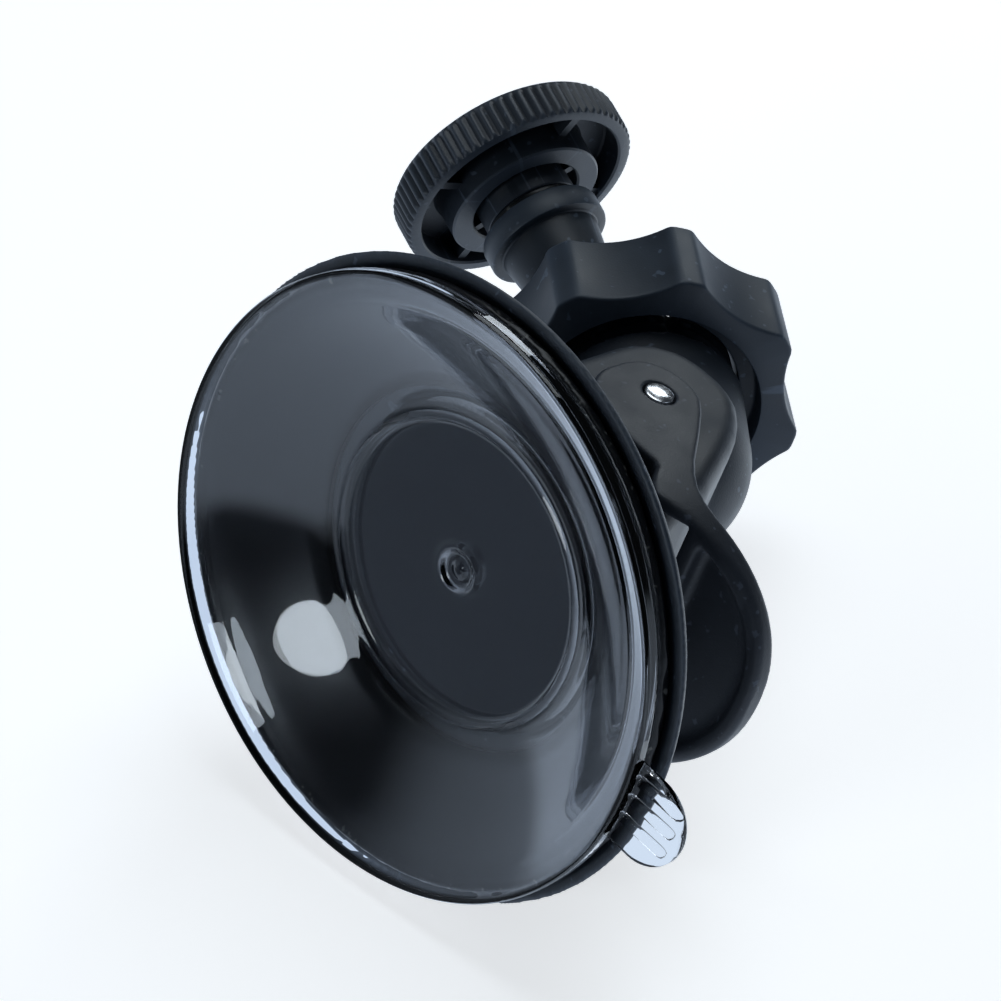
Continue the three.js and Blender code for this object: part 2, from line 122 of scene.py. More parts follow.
def ring_grid(loops, closed_profile):
    """Vertices and faces of a skin over closed loops, each an (n, 3) array."""
    around = len(loops[0])
    vertices = np.concatenate(loops)
    faces = []
    count = len(loops)
    for level in range(count if closed_profile else count - 1):
        low, high = level * around, (level + 1) % count * around
        for i in range(around):
            j = (i + 1) % around
            faces.append((low + i, low + j, high + j, high + i))
    return vertices, faces


def capped_skin(loops):
    """A closed skin over loops, with a flat face on the first and the last."""
    vertices, faces = ring_grid(loops, closed_profile=False)
    around = len(loops[0])
    faces.append(tuple(reversed(range(around))))
    faces.append(tuple(range(len(vertices) - around, len(vertices))))
    return vertices, faces


def smooth_profile(points, step, corners):
    """A profile resampled as smooth curves between its corner points."""
    points = np.asarray(points, float)
    breaks = [0, *corners, len(points) - 1]
    pieces = []
    for start, end in zip(breaks[:-1], breaks[1:]):
        part = points[start : end + 1]
        reach = np.r_[0, np.cumsum(np.hypot(*np.diff(part, axis=0).T))]
        count = max(2, int(reach[-1] / step) + 1)
        s = np.linspace(0, reach[-1], count)
        if len(part) == 2:
            curve = np.c_[np.interp(s, reach, part[:, 0]), np.interp(s, reach, part[:, 1])]
        else:
            slopes = np.gradient(part, reach, axis=0)
            k = np.clip(np.searchsorted(reach, s, side="right") - 1, 0, len(part) - 2)
            h = (reach[k + 1] - reach[k])[:, None]
            t = ((s - reach[k])[:, None]) / h
            curve = (
                (2 * t**3 - 3 * t**2 + 1) * part[k]
                + (t**3 - 2 * t**2 + t) * h * slopes[k]
                + (3 * t**2 - 2 * t**3) * part[k + 1]
                + (t**3 - t**2) * h * slopes[k + 1]
            )
        pieces.append(curve if not pieces else curve[1:])
    return np.concatenate(pieces)


def lathe_loops(profile, around):
    """Closed loops about Z for a profile of (radius, height)."""
    turn = 2 * math.pi * np.arange(around) / around
    circle = np.c_[np.cos(turn), np.sin(turn)]
    return [np.c_[radius * circle, np.full(around, height)] for radius, height in profile]


def boolean(target, tool, operation):
    """Applies a boolean with a throwaway tool object to the target's mesh."""
    modifier = target.modifiers.new("cut", "BOOLEAN")
    modifier.operation = operation
    modifier.solver = "EXACT"
    modifier.object = tool
    bpy.context.view_layer.update()
    evaluated = target.evaluated_get(bpy.context.evaluated_depsgraph_get())
    result = bpy.data.meshes.new_from_object(evaluated)
    target.modifiers.clear()
    old = target.data
    target.data = result
    bpy.data.meshes.remove(old)
    bpy.data.objects.remove(tool)


# ---- Distance fields, for moulded pieces whose faces run into each other ----


class Grid:
    """A box of sample points, kept as three broadcastable axes."""

    def __init__(self, low, high, step):
        self.low, self.step = np.asarray(low, float), step
        axes = [np.arange(a, b + step, step, dtype=np.float32) for a, b in zip(low, high)]
        self.x = axes[0][:, None, None]
        self.y = axes[1][None, :, None]
        self.z = axes[2][None, None, :]

    def along(self, placed):
        """Distance from a frame's Z axis, angle round it, height along it, and all three coordinates."""
        inverse = np.array(placed.inverted(), dtype=np.float32)
        local = [
            row[0] * self.x + row[1] * self.y + row[2] * self.z + row[3] for row in inverse[:3]
        ]
        return np.hypot(local[0], local[1]), np.arctan2(local[1], local[0]), local[2], local


def soft_union(a, b, radius):
    """The union of two fields with a fillet."""
    share = np.clip(0.5 + 0.5 * (b - a) / radius, 0, 1)
    return b + (a - b) * share - radius * share * (1 - share)


def soft_common(a, b, radius):
    """What two fields share, with a rounded edge."""
    return -soft_union(-a, -b, radius)


def polygon_field(u, v, points):
    """Signed distance in a plane to a closed outline, negative inside."""
    points = np.asarray(points, np.float32)
    nearest = np.float32(np.inf)
    inside = False
    for (ax, ay), (bx, by) in zip(points, np.roll(points, -1, axis=0)):
        ex, ey = bx - ax, by - ay
        wx, wy = u - ax, v - ay
        t = np.clip((wx * ex + wy * ey) / (ex * ex + ey * ey), 0, 1)
        nearest = np.minimum(nearest, (wx - t * ex) ** 2 + (wy - t * ey) ** 2)
        if ey != 0:
            inside = inside ^ (((ay > v) != (by > v)) & (u < ex * (v - ay) / ey + ax))
    return np.where(inside, -1, 1).astype(np.float32) * np.sqrt(nearest)


def drawn_out(flat, across, half, edge):
    """A flat field drawn out to a half width, with rounded edges."""
    a, b = flat + edge, np.abs(across) - half + edge
    return np.minimum(np.maximum(a, b), 0) + np.hypot(np.maximum(a, 0), np.maximum(b, 0)) - edge


def surface_of(field, grid):
    """Vertices and four-sided faces where a sampled field crosses zero."""
    inside = field < 0
    cells = tuple(n - 1 for n in field.shape)
    offsets = [(i, j, k) for i in (0, 1) for j in (0, 1) for k in (0, 1)]
    count = np.zeros(cells, np.int8)
    for i, j, k in offsets:
        count += inside[i : i + cells[0], j : j + cells[1], k : k + cells[2]]
    mixed = (count > 0) & (count < 8)
    where = np.argwhere(mixed)
    index = np.full(cells, -1, np.int64)
    index[mixed] = np.arange(len(where))
    total, hits = np.zeros((len(where), 3)), np.zeros(len(where))
    for axis in range(3):
        for b in (0, 1):
            for c in (0, 1):
                start = where.copy()
                start[:, (axis + 1) % 3] += b
                start[:, (axis + 2) % 3] += c
                end = start.copy()
                end[:, axis] += 1
                v0, v1 = field[tuple(start.T)], field[tuple(end.T)]
                crossing = (v0 < 0) != (v1 < 0)
                point = start.astype(float)
                point[crossing, axis] += (v0 / (v0 - v1 + 1e-20))[crossing]
                total[crossing] += point[crossing]
                hits[crossing] += 1
    vertices = grid.low + grid.step * total / hits[:, None]
    quads = []
    for axis in range(3):
        a1, a2 = (axis + 1) % 3, (axis + 2) % 3
        low = np.take(inside, range(field.shape[axis] - 1), axis)
        high = np.take(inside, range(1, field.shape[axis]), axis)
        edges = np.argwhere(low != high)
        edges = edges[(edges[:, a1] > 0) & (edges[:, a2] > 0)]
        edges = edges[(edges[:, a1] < cells[a1]) & (edges[:, a2] < cells[a2])]
        corners = []
        for d1, d2 in ((-1, -1), (0, -1), (0, 0), (-1, 0)):
            cell = edges.copy()
            cell[:, a1] += d1
            cell[:, a2] += d2
            corners.append(index[tuple(cell.T)])
        quad = np.stack(corners, axis=1)
        outward = inside[tuple(edges.T)]
        quads.append(np.where(outward[:, None], quad, quad[:, ::-1]))
    return vertices, np.concatenate(quads).tolist()


# ---- Materials ----


class Nodes:
    """A short way to write a material's node tree."""

    def __init__(self, name):
        self.material = bpy.data.materials.new(name)
        self.material.use_nodes = True
        self.tree = self.material.node_tree
        self.shader = self.tree.nodes["Principled BSDF"]

    def add(self, kind, inputs=None, **settings):
        node = self.tree.nodes.new(kind)
        for key, value in settings.items():
            setattr(node, key, value)
        for key, value in (inputs or {}).items():
            if isinstance(value, bpy.types.NodeSocket):
                self.tree.links.new(value, node.inputs[key])
            else:
                node.inputs[key].default_value = value
        return node

    def set(self, **values):
        for key, value in values.items():
            socket = self.shader.inputs[key.replace("_", " ")]
            if isinstance(value, bpy.types.NodeSocket):
                self.tree.links.new(value, socket)
            else:
                socket.default_value = value

    def noise(self, scale, detail=3.0, stretch=(1, 1, 1)):
        place = self.add("ShaderNodeTexCoord").outputs["Object"]
        mapped = self.add("ShaderNodeMapping", {"Vector": place, "Scale": stretch})
        sources = {"Vector": mapped.outputs[0], "Scale": scale, "Detail": detail}
        return self.add("ShaderNodeTexNoise", {**sources, "Roughness": 0.55}).outputs["Fac"]

    def ramp(self, value, stops):
        node = self.add("ShaderNodeValToRGB", {"Fac": value})
        ramp = node.color_ramp
        while len(ramp.elements) < len(stops):
            ramp.elements.new(0.5)
        for element, (position, shade) in zip(ramp.elements, stops):
            element.position = position
            element.color = (*shade, 1) if isinstance(shade, tuple) else (shade, shade, shade, 1)
        return node.outputs["Color"]

    def bump(self, height, strength, distance):
        inputs = {"Height": height, "Strength": strength, "Distance": distance * MM}
        return self.add("ShaderNodeBump", inputs).outputs["Normal"]


def moulded_plastic(name, colour, roughness, grain=0.45, grain_size=0.2):
    """Black moulded plastic: spark-eroded grain, dust in the grain, a painted highlight on convex edges,
    uneven gloss.
    """
    n = Nodes(name)
    fine = n.noise(1 / (grain_size * MM), detail=2.0)
    coarse = n.noise(160, detail=4.0)
    # Convex edges, where Pointiness is high, are tinted lighter: a painted highlight along the edges.
    convexity = n.add("ShaderNodeNewGeometry").outputs["Pointiness"]
    edge = n.ramp(convexity, [(0.515, 0.0), (0.6, 1.0)])
    dust = n.ramp(n.noise(900, detail=1.0), [(0.68, 0.0), (0.74, 1.0)])
    # The painted edge highlight and the real dust specks share one mask and one lighter tint.
    marks = n.add("ShaderNodeMath", {0: edge, 1: dust}, operation="MAXIMUM").outputs[0]
    highlight_and_dust_tint = tuple(3.0 * channel + 0.012 for channel in colour)
    dark = tuple(0.75 * channel for channel in colour)
    pale = tuple(1.25 * channel for channel in colour)
    tint = n.add("ShaderNodeMix", {"Factor": marks}, data_type="RGBA")
    n.tree.links.new(n.ramp(coarse, [(0.3, dark), (0.7, pale)]), tint.inputs["A"])
    tint.inputs["B"].default_value = (*highlight_and_dust_tint, 1)
    gloss = n.ramp(coarse, [(0.25, roughness - 0.06), (0.75, roughness + 0.07)])
    n.set(Base_Color=tint.outputs["Result"], Roughness=gloss, Normal=n.bump(fine, grain, 0.05))
    return n.material


def clear_pvc(name, bending, colour):
    """Soft clear PVC, faintly blue, with the slow waviness of a moulded sheet."""
    n = Nodes(name)
    waves = n.noise(45, detail=1.0)
    smears = n.ramp(n.noise(70, detail=5.0), [(0.35, 0.012), (0.75, 0.04)])
    n.set(
        Base_Color=colour,
        Roughness=smears,
        Transmission_Weight=1.0,
        IOR=bending,
        Normal=n.bump(waves, 0.1, 0.15),
    )
    return n.material


def glossy_rubber():
    """Black rubber with a wet-looking skin, creased and dusty at the cup's edge."""
    n = Nodes("glossy_rubber")
    place = n.add("ShaderNodeTexCoord").outputs["Object"]
    flat = n.add("ShaderNodeVectorMath", {0: place, 1: (1, 1, 0)}, operation="MULTIPLY").outputs[0]
    radius = n.add("ShaderNodeVectorMath", {0: flat}, operation="LENGTH").outputs["Value"]
    ends = {"Value": radius, "From Min": 28.3 * MM, "From Max": 29.2 * MM}
    edge = n.add("ShaderNodeMapRange", ends).outputs["Result"]
    creases = n.noise(500, detail=4.0, stretch=(1, 1, 0.35))
    height = n.add("ShaderNodeMath", {0: creases, 1: edge}, operation="MULTIPLY").outputs[0]
    specks = n.ramp(n.noise(1400, detail=1.0), [(0.66, 0.0), (0.74, 1.0)])
    dust = n.add("ShaderNodeMath", {0: specks, 1: edge}, operation="MULTIPLY").outputs[0]
    n.set(
        Base_Color=n.ramp(dust, [(0.0, (0.004, 0.0045, 0.006)), (1.0, (0.09, 0.09, 0.085))]),
        Roughness=n.ramp(n.noise(60), [(0.3, 0.28), (0.7, 0.34)]),
        Specular_IOR_Level=0.35,
        Normal=n.bump(height, 0.6, 0.25),
    )
    return n.material


def metal(name, colour, roughness):
    """Bright metal with fine, even marks."""
    n = Nodes(name)
    marks = n.noise(900)
    shade = n.ramp(marks, [(0.3, tuple(0.8 * c for c in colour)), (0.7, colour)])
    gloss = n.ramp(marks, [(0.3, roughness - 0.08), (0.7, roughness + 0.1)])
    n.set(Base_Color=shade, Metallic=1.0, Roughness=gloss, Normal=n.bump(marks, 0.08, 0.02))
    return n.material


PVC = clear_pvc("clear_pvc", 1.5, (0.92, 0.95, 1.0, 1))
TAB_PVC = clear_pvc("thin_pvc", 1.14, (1.0, 1.0, 1.0, 1))
RUBBER = glossy_rubber()
HOUSING = moulded_plastic("housing_plastic", (0.014, 0.0195, 0.028), 0.52)
# The lever's colour is a touch darker than the housing's: painted shade for its shadowed paddle.
LEVER = moulded_plastic("lever_plastic", (0.014, 0.018, 0.026), 0.5)
NUT = moulded_plastic("nut_plastic", (0.02, 0.0285, 0.041), 0.5, 0.25)
STUD = moulded_plastic("stud_plastic", (0.018, 0.0255, 0.036), 0.45, 0.2)
WHEEL = moulded_plastic("wheel_plastic", (0.014, 0.0195, 0.028), 0.44, 0.3)
INNER = moulded_plastic("plunger_plastic", (0.0045, 0.006, 0.009), 0.55, 0.05)
INNER.node_tree.nodes["Principled BSDF"].inputs["Specular IOR Level"].default_value = 0.15
ACETAL = moulded_plastic("acetal", (0.02, 0.021, 0.023), 0.4, 0.1)
STEEL = metal("steel", (0.92, 0.93, 0.95), 0.18)
BRASS = metal("brass", (0.75, 0.55, 0.24), 0.3)

node_materials = {
    "suction_cup": PVC,
    "cup_backing": RUBBER,
    "base_housing": HOUSING,
    "plunger": INNER,
    "pivot_pin": STEEL,
    "cam_lever": LEVER,
    "ball_seat": ACETAL,
    "clamp_nut": NUT,
    "ball_stud": STUD,
    "stud_washer": RUBBER,
    "camera_screw": STEEL,
    "thumb_wheel": WHEEL,
    "wheel_insert": BRASS,
}


def smooth_by_angle(angle):
    """A geometry-nodes modifier group that welds a CAD mesh and shades its shallow edges smooth."""
    group = bpy.data.node_groups.new("smooth_by_angle", "GeometryNodeTree")
    group.interface.new_socket("Geometry", in_out="INPUT", socket_type="NodeSocketGeometry")
    group.interface.new_socket("Geometry", in_out="OUTPUT", socket_type="NodeSocketGeometry")
    nodes, links = group.nodes, group.links
    start = nodes.new("NodeGroupInput")
    weld = nodes.new("GeometryNodeMergeByDistance")
    weld.inputs["Distance"].default_value = 0.001 * MM
    faces = nodes.new("GeometryNodeSetShadeSmooth")
    faces.domain = "FACE"
    edge_angle = nodes.new("GeometryNodeInputMeshEdgeAngle")
    shallow = nodes.new("FunctionNodeCompare")
    shallow.operation = "LESS_THAN"
    shallow.inputs["B"].default_value = math.radians(angle)
    edges = nodes.new("GeometryNodeSetShadeSmooth")
    edges.domain = "EDGE"
    end = nodes.new("NodeGroupOutput")
    links.new(start.outputs[0], weld.inputs["Geometry"])
    links.new(weld.outputs["Geometry"], faces.inputs["Geometry"])
    links.new(edge_angle.outputs["Unsigned Angle"], shallow.inputs["A"])
    links.new(faces.outputs["Geometry"], edges.inputs["Geometry"])
    links.new(shallow.outputs["Result"], edges.inputs["Shade Smooth"])
    links.new(edges.outputs["Geometry"], end.inputs[0])
    return group


smoothing = smooth_by_angle(32)
for node, material in node_materials.items():
    cad_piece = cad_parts[node]
    cad_piece.material_slots[0].material = material
    cad_piece.modifiers.new("smooth", "NODES").node_group = smoothing


# ---- The clear cup ----


def pull_tab():
    """A rounded tongue on the lip with three ribs, as one closed mesh."""
    half = TAB_WIDTH / 2
    root, end = -CUP_RADIUS + 0.7, -CUP_RADIUS - TAB_REACH
    turn = np.linspace(math.pi, 2 * math.pi, 25)
    tip = np.c_[half * np.cos(turn), end + half + half * np.sin(turn)]
    outline = np.concatenate([[(-half, root)], tip, [(half, root)]])
    middle = np.array([0, (root + end) / 2])
    loops = []
    for height, inset in [(0.2, 0.25), (0.3, 0.08), (0.5, 0), (1.1, 0), (1.3, 0.08), (1.4, 0.25)]:
        outward = (outline - middle) / np.abs(outline - middle).max(axis=0)
        loops.append(np.c_[outline - inset * outward, np.full(len(outline), height)])
    vertices, faces = capped_skin(loops)
    return mesh_object("tab_tool", vertices, faces, PVC)


def tab_rib(x):
    """One long rounded rib on the tab."""
    around = 16
    tab_top = 1.3
    length, width, top = TAB_REACH - 1.0, 1.0, 0.75
    centre = 0.5 - CUP_RADIUS - length / 2
    turn = 2 * math.pi * (np.arange(around) + 0.5) / around
    side = np.sign(np.cos(turn)) * np.abs(np.cos(turn)) ** 0.6
    end = np.sign(np.sin(turn)) * np.abs(np.sin(turn)) ** 0.25
    loops = []
    for height, scale in [(-0.1, 1.0), (0.45 * top, 1.0), (0.85 * top, 0.75), (top, 0.4)]:
        across = width / 2 * scale * side
        along = (length / 2 - width / 2 * (1 - scale)) * end
        loops.append(np.c_[x + across, centre + along, np.full(around, tab_top + height)])
    vertices, faces = capped_skin(loops)
    return mesh_object("rib_tool", vertices, faces, PVC)


def make_cup():
    """The clear cup: gate dimple, disc, bowl, lip and rim of one profile, with its ribbed tab."""
    around = 192
    gate = [(0, 7.75), (0.5, 7.8), (1.1, 8.05), (1.7, 7.95), (2.15, 7.58), (2.6, 7.5)]
    disc = [(3.0, 7.6), (14.0, 7.6), (14.5, 7.5), (14.75, 7.2)]
    disc += [(14.95, 7.12), (15.15, 7.2), (15.35, 7.4)]
    bowl = [(15.8, 7.36), (18, 6.5), (20, 5.53), (22, 4.42), (24, 3.15), (26.2, 1.6), (26.8, 1.17)]
    lip = [(26.9, 1.12), (28.2, 0.55), (29.2, 0.15), (29.5, 0.03), (29.9, 0.06)]
    rim = [(30, 0.25), (30, 1.5), (29.85, 1.75)]
    back = [*CUP_BACK, (15.6, 9.35), (14.8, 9.4), (0, 9.4)]
    points = gate + disc + bowl + lip + rim + back
    sharp = [disc[0], disc[1], bowl[0], bowl[-1], lip[0], *rim, back[0], back[-2]]
    profile = smooth_profile(points, 0.3, [points.index(corner) for corner in sharp])
    profile[0, 0] = profile[-1, 0] = 0.02
    vertices, faces = capped_skin(lathe_loops(profile[::-1], around))
    faces = [tuple(reversed(face)) for face in faces]
    cup = mesh_object("clear_cup", vertices, faces, PVC)
    boolean(cup, pull_tab(), "UNION")
    spacing = TAB_WIDTH / 4
    for index in (-1, 0, 1):
        boolean(cup, tab_rib(index * spacing), "UNION")
    cup.data.shade_smooth()
    cup.data.set_sharp_from_angle(angle=math.radians(40))
    cup.data.materials.append(TAB_PVC)
    for face in cup.data.polygons:
        if face.center.y < -CUP_RADIUS * MM:
            face.material_index = 1
    return cup


cup = make_cup()
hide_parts("suction_cup")
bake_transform(cup)


# ---- Rubber backing ----


def make_backing():
    """The rubber ring between cup and flange, with a ragged, creased outer edge."""
    rng = np.random.default_rng(4)
    around = 360
    under = [(radius, height + 0.3) for radius, height in CUP_BACK]
    edge = [(29.55, 2.55), (29.7, 2.85), (29.6, 3.3)]
    profile = [*reversed(under), (29.3, 2.4), *edge, (29.4, 3.5), *BACKING_TOP]
    loops = lathe_loops(profile, around)
    turn = 2 * math.pi * np.arange(around) / around
    waves = sum(
        rng.uniform(0.3, 1) * np.sin(k * turn + rng.uniform(0, 2 * math.pi)) for k in range(9, 70, 5)
    )
    waves = waves / np.abs(waves).max()
    for level, loop in enumerate(loops):
        radius = np.hypot(loop[:, 0], loop[:, 1])
        outer = np.clip((radius - 28.5) / 1.5, 0, 1)
        shift = 0.3 * waves * outer * (1 if level % 2 else -0.6)
        loop[:, :2] *= (1 + shift / radius)[:, None]
        loop[:, 2] += 0.08 * np.roll(waves, 11 * level) * outer
    vertices, faces = ring_grid(loops, closed_profile=True)
    return mesh_object("rubber_backing", vertices, faces, RUBBER)


# ---- Base housing ----

ARCH = [
    (9.4, 12), (9.4, 33), (9.1, 35), (8.2, 37), (6.6, 38.7), (5, 39.5), (3.4, 39.85), (0.8, 39.9),
    (-1, 39.5), (-2.6, 38.8), (-4.3, 37.3), (-5.8, 35.4), (-6.9, 33.6), (-8.7, 30.2), (-10.6, 26.2),
    (-11.8, 22.5), (-12.6, 19), (-13, 16), (-13.2, 12),
]
FLANGE = [
    (0, FLANGE_BOTTOM), (31.0, FLANGE_BOTTOM), (31.1, 3.85), (30.7, 4.6), (28.4, 6.4), (25, 8.3),
    (20, 11.4), (0, 11.4),
]
HOLLOW = [
    (-1, 0), (29.95, 0), (29.95, 3.75), (28.6, 4.55), (26, 6.2), (22, 8.3), (18, 10.1), (16.3, 10.8),
    (15.2, 10.9), (15.2, 12.3), (-1, 12.3),
]
BELL_HEIGHTS = [9, 11, 13.5, 16.5, 19.4, 20]
BELL_WIDTHS = [22.4, 20.4, 18.7, 17.2, 16.5, 16.1]
BELL_DEPTHS = [22.4, 20.4, 17.4, 13.3, 11.4, 11.0]


def bell_sizes(values, heights):
    """The bell's half sizes at some heights, softened between its key heights."""
    samples = 60
    bottom, top = BELL_HEIGHTS[0], BELL_HEIGHTS[-1]
    sampled = bottom + np.arange(-1, samples + 1) * (top - bottom) / (samples - 1)
    soft = np.convolve(np.interp(sampled, BELL_HEIGHTS, values), [0.25, 0.5, 0.25], "valid")
    return np.interp(heights, np.linspace(bottom, top, samples), soft).astype(np.float32)


def bell_field(x, y, z):
    """The bell under the arch: a squared-off oval at each height, cut off flat at the ledge."""
    half_width = bell_sizes(BELL_WIDTHS, z[0, 0])
    half_depth = bell_sizes(BELL_DEPTHS, z[0, 0])
    power = 2.4
    share = (np.abs(x / half_width) ** power + np.abs(y / half_depth) ** power) ** (1 / power)
    bell = soft_common((share - 1) * half_depth * 0.75, z - LEDGE_HEIGHT, 0.5)
    return np.maximum(bell, 8 - z)


def socket_fields(around, angle, along):
    """The socket's shell, its threaded collar, and the hollow that holds the ball."""
    ball = np.hypot(around, along + SHELL_DROP) - SHELL_RADIUS
    widening = 0.05 * np.clip(along + SHELL_DROP, 0, SHELL_DROP)
    shell = np.maximum(around - (SHELL_RADIUS + widening), -along - SHELL_DROP)
    shell = np.minimum(ball, np.maximum(shell, along))
    groove = 0.3 * np.abs((along / COLLAR_PITCH - angle / (2 * math.pi)) % 1 - 0.5) * 2
    collar = soft_common(around - COLLAR_RADIUS + groove, along - COLLAR_TOP, 0.4)
    collar = np.maximum(collar, -along - 2)
    bore = np.where(along < BALL_HEIGHT, around, np.hypot(around, along - BALL_HEIGHT)) - SOCKET_BORE
    bore = np.maximum(bore, -SHELL_DROP - 0.4 - along)
    mouth = np.maximum(around - 7.65 - 0.6 * np.clip(along - 5.2, 0, 2), 4 - along)
    return shell, collar, np.minimum(bore, mouth)


def make_housing():
    """The base housing: flange, bell, arch and split socket, hollow inside, as one moulding."""
    step = 0.34
    grid = Grid((-32, -32, 3.1), (32, 32, 57), step)
    x, y, z = grid.x, grid.y, grid.z
    radius = np.hypot(x, y)
    field = soft_union(polygon_field(radius, z, FLANGE), bell_field(x, y, z), 1.6)
    arch = drawn_out(polygon_field(y, z, ARCH), x, BODY_HALF_WIDTH, 2.0)
    field = soft_union(field, arch, 0.7)
    around, angle, along, local = grid.along(socket_frame)
    shell, collar, hollow = socket_fields(around, angle, along)
    field = soft_union(field, shell, 0.6)
    field = soft_union(field, collar, 0.1)
    field = np.maximum(field, -hollow)
    slot_half_width, slot_start = 0.65, 0.9
    notch_end, notch_floor = 4.4, 9.3
    for across in (local[0], local[1]):
        slot = np.maximum(np.abs(across) - slot_half_width, slot_start - along)
        notch = np.where(along < notch_end, notch_floor - around, -1)
        field = np.maximum(field, -np.maximum(slot, notch))
    field = np.maximum(field, -polygon_field(radius, z, HOLLOW))
    stem_bore_radius, stem_bore_top = 5.3, 33
    stem_bore = np.maximum(radius - stem_bore_radius, z - stem_bore_top)
    field = np.maximum(field, -stem_bore)
    slot_z = np.clip(z, PIN_HEIGHT - LEVER_TRAVEL, PIN_HEIGHT)
    pin_slot = np.hypot(y, z - slot_z) - PIN_RADIUS - 0.25
    field = np.maximum(field, -pin_slot)
    vertices, faces = surface_of(field, grid)
    return mesh_object("housing_shell", vertices, faces, HOUSING)


# ---- Cam lever ----


def lever_side():
    """The lever's side outline as (y, z), its cam an envelope of the ledge."""
    locked = PIN_HEIGHT - LEDGE_HEIGHT - 0.3
    fall = LEVER_TRAVEL / LEVER_SWING
    points = []
    for swing in np.linspace(0, LEVER_SWING, 14):
        radius = locked - fall * swing
        c, s = math.cos(swing), math.sin(swing)
        points.append((radius * s - fall * c, -radius * c - fall * s))
    points += [(5.1, 0), (4.8, 1.5), (4.3, 2.5), (3.6, 3.2), (2.7, 3.8), (1.6, 4.15)]
    for turn in np.radians(np.linspace(90, 138, 7)):
        points.append((4.3 * math.cos(turn), 4.3 * math.sin(turn)))
    points += [(-3.9, 2.2), (-4.9, 1.0), (-6, -0.3), (-7.4, -2.1), (-8.8, -3.9), (-10.3, -5.4)]
    points += [(-11.8, -6.45), (-13.4, -6.95), (-15, -6.95), (-16.5, -6.7), (-PADDLE_TIP - 0.5, -4.75)]
    points += [(-PADDLE_TIP - 0.5, -7.5), (-24, -7.6), (-22, -8), (-20.3, -8.6), (-18.6, -9.2)]
    points += [(-16.5, -9.8), (-14.5, -10.4), (-12.7, -11.1), (-11.3, -11.5), (-10.4, -11.4)]
    points += [(-9.5, -10.8), (-8.6, -9.7), (-7.9, -8.6), (-7.2, -locked)]
    return [(y, z + PIN_HEIGHT) for y, z in points]


def lever_plan(inset):
    """The lever's outline from above as (x, y): two straight arms and a rounded paddle."""
    width = LEVER_HALF_WIDTH - inset
    length = PADDLE_TIP - PADDLE_BEND - inset
    roundness = 2 / 2.2
    points = [(width, 9.0)]
    for turn in np.linspace(0, math.pi, 61):
        c, s = math.cos(turn), math.sin(turn)
        x = width * np.sign(c) * abs(c) ** roundness
        points.append((x, -PADDLE_BEND - length * abs(s) ** roundness))
    points.append((-width, 9.0))
    return points


def make_lever():
    """The cam lever: two ears and arms, and a paddle hollowed from below."""
    step = 0.22
    wall, fold, paddle_drop = 1.4, 16.5, 6.7
    grid = Grid((-16.3, -27.2, 16.2), (16.3, 6.4, 33.6), step)
    x, y, z = grid.x, grid.y, grid.z
    side = drawn_out(polygon_field(y, z, lever_side()), x, LEVER_HALF_WIDTH, 0.5)
    field = soft_common(side, polygon_field(x, y, lever_plan(0)), 0.9)
    gap = np.maximum(np.abs(x) - BODY_HALF_WIDTH - 0.3, -y - PADDLE_INNER)
    field = soft_common(field, -gap, 0.3)
    slope = 1.9 / (PADDLE_TIP - fold)
    roof = PIN_HEIGHT - paddle_drop + slope * (-y - fold) - wall
    recess = soft_common(polygon_field(x, y, lever_plan(wall)), z - roof, 1.8)
    recess = soft_common(recess, y + PADDLE_INNER + 1.5, 1.0)
    field = soft_common(field, -recess, 0.5)
    hole = np.hypot(y, z - PIN_HEIGHT) - PIN_RADIUS - 0.2
    field = soft_common(field, -hole, 0.15)
    vertices, faces = surface_of(field, grid)
    return mesh_object("lever_body", vertices, faces, LEVER)


# ---- Turned and knurled pieces ----


def turned_object(name, profile, around, material, placed):
    """A closed turned piece about its frame's Z axis."""
    vertices, faces = capped_skin(lathe_loops(profile, around))
    return mesh_object(name, vertices, faces, material, 30, placed)


def nut_outline():
    """Radii and angles round the clamp nut: flat-tipped lobes with hollows between."""
    half, step = math.radians(4.1), 2 * math.pi / NUT_LOBES
    tip, valley = 16.4, 14.5
    points = []
    for lobe in range(NUT_LOBES):
        turn = lobe * step
        start = tip * np.exp(1j * (turn + half))
        end = tip * np.exp(1j * (turn + step - half))
        middle = tip * math.cos(step / 2 - half)
        control = (2 * valley - middle) * np.exp(1j * (turn + step / 2))
        for t in np.linspace(0, 1, 6)[:-1]:
            points.append(tip * np.exp(1j * (turn - half + 2 * half * t)))
        for t in np.linspace(0, 1, 31)[:-1]:
            points.append((1 - t) ** 2 * start + 2 * t * (1 - t) * control + t * t * end)
    points = np.array(points)
    softened = (np.roll(points, 1) + 2 * points + np.roll(points, -1)) / 4
    return np.abs(softened), np.angle(softened)


def make_nut():
    """The clamp nut: lobed outside, with a stepped bore that fits over the socket's collar."""
    outline, turn = nut_outline()
    circle = np.c_[np.cos(turn), np.sin(turn)]
    edge = 0.4
    outside = [(edge, 0), (0.17, 0.05), (0.05, 0.17), (0, edge)]
    top = [(inset, NUT_HEIGHT - height) for inset, height in reversed(outside)]
    loops = []
    for inset, height in [*outside, *top]:
        loops.append(np.c_[(outline - inset)[:, None] * circle, np.full(len(turn), height)])
    bore = [
        (11.3, NUT_HEIGHT), (11.0, 9.75), (10.7, 9.5), (9.65, 8.4), (9.6, 8.2), (9.6, 6.7), (9.7, 6.4),
        (10.2, 5.3), (10.2, 3.1), (10.3, 2.95), (10.5, 2.9), (11.7, 2.9), (11.9, 2.8), (12, 2.6),
        (12, 0.3), (12.1, 0.08), (12.3, 0),
    ]
    for radius, height in bore:
        loops.append(np.c_[radius * circle, np.full(len(turn), height)])
    vertices, faces = ring_grid(loops, closed_profile=True)
    placed = socket_frame @ Matrix.Rotation(math.radians(-1.4), 4, "Z")
    return mesh_object("lobed_nut", vertices, faces, NUT, 38, placed)


